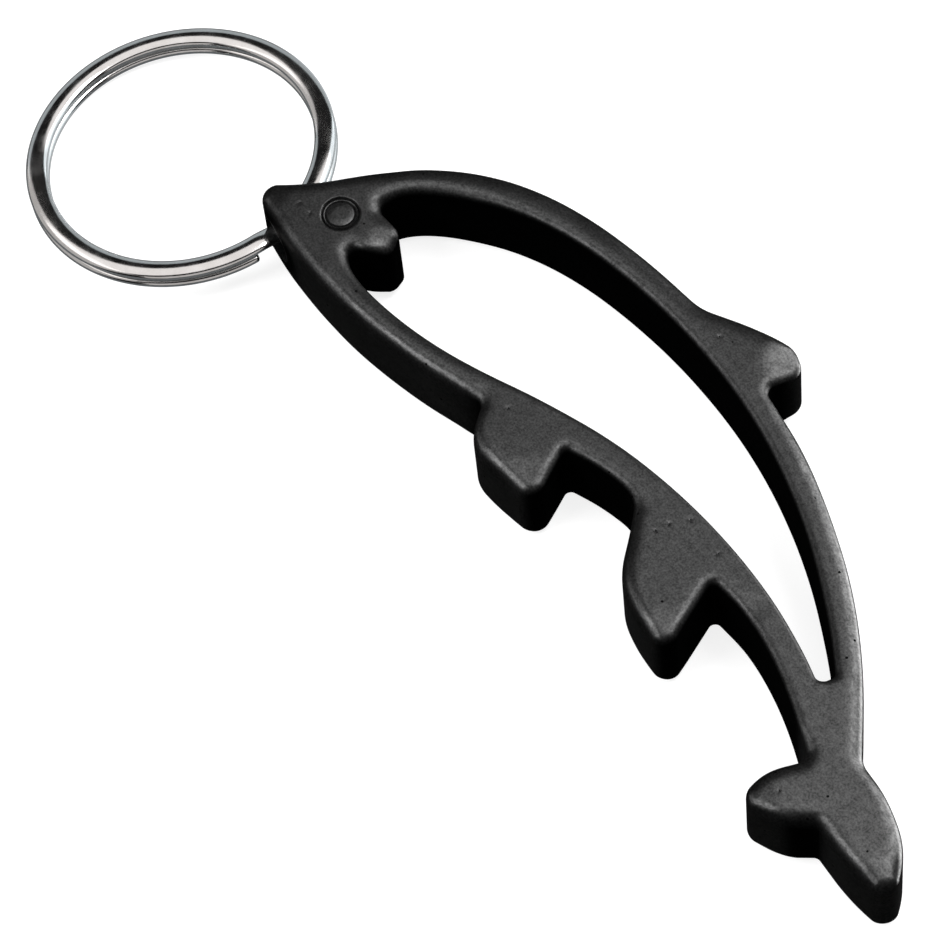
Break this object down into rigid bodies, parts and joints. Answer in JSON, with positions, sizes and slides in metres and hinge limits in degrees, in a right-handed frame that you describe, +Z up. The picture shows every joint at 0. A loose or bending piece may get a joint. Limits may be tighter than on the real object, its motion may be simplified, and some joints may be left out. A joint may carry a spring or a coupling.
{
  "type": "dolphin bottle opener with split key ring",
  "caption": "Flat dolphin-shaped bottle opener with a long cap window and hook, a hole across its nose and a double-turn split ring hanging in it.",
  "frame": {"origin": "under the middle of the opener and its ring together, on the surface they lie on", "axes": "+X from the ring and nose towards the tail, +Y towards the dorsal fin, +Z up through the plate's thickness"},
  "size_m": [0.099, 0.0352, 0.007],
  "materials": {
    "black_aluminium": "satin black coating over a tumbled casting, fine grain and small pits",
    "plated_wire": "bright nickel plate"
  },
  "bodies": {
    "dolphin": {"opener_body": "black_aluminium"},
    "ring": {"split_ring": "plated_wire"}
  },
  "joints": [
    {"name": "ring_swing", "type": "hinge", "parent": "dolphin", "child": "ring", "pos_m": [-0.02536, -0.00296, 0.0035], "axis": [-0.1822, 0.9833, 0], "range_deg": [-130, 160]}
  ]
}
